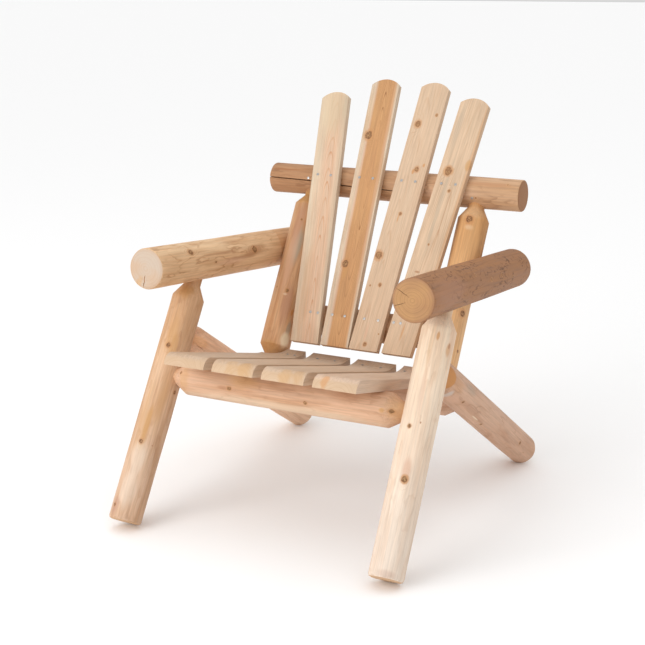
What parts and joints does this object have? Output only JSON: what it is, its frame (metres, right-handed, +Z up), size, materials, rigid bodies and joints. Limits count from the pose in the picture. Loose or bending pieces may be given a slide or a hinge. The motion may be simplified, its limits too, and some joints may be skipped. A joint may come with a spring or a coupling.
{
  "type": "armchair",
  "caption": "Garden armchair built of round peeled logs with pencil-point tenons, a sloping seat of contoured boards and a reclined back of fanned, crowned boards.",
  "frame": {"origin": "on the floor under the middle of the chair's bounding box", "axes": "+Z up, the chair faces -Y, +X is on the right of a person looking at its front"},
  "size_m": [0.7504, 0.8841, 0.9608],
  "materials": {
    "leg_log": "peeled, unfinished",
    "side_log": "peeled, unfinished",
    "arm_log": "peeled, unfinished",
    "post_log": "peeled, unfinished",
    "rail_log": "peeled, unfinished",
    "pale_board": "planed, unfinished",
    "heart_board": "planed, unfinished",
    "seat_board": "planed, unfinished",
    "screw_steel": "zinc plated"
  },
  "bodies": {
    "root": {"left_front_leg": "leg_log", "right_front_leg": "leg_log", "left_rear_leg": "side_log", "right_rear_leg": "side_log", "left_armrest": "arm_log", "right_armrest": "arm_log", "left_back_post": "post_log", "right_back_post": "post_log", "upper_back_rail": "rail_log", "lower_back_rail": "rail_log", "front_seat_rail": "side_log", "rear_seat_rail": "side_log", "back_slat_1": "pale_board", "back_slat_2": "heart_board", "back_slat_3": "pale_board", "back_slat_4": "pale_board", "seat_slat_1": "seat_board", "seat_slat_2": "seat_board", "seat_slat_3": "seat_board", "seat_slat_4": "seat_board", "back_slat_screws": "screw_steel", "seat_slat_screws": "screw_steel", "rail_lock_screws": "screw_steel"}
  },
  "joints": []
}
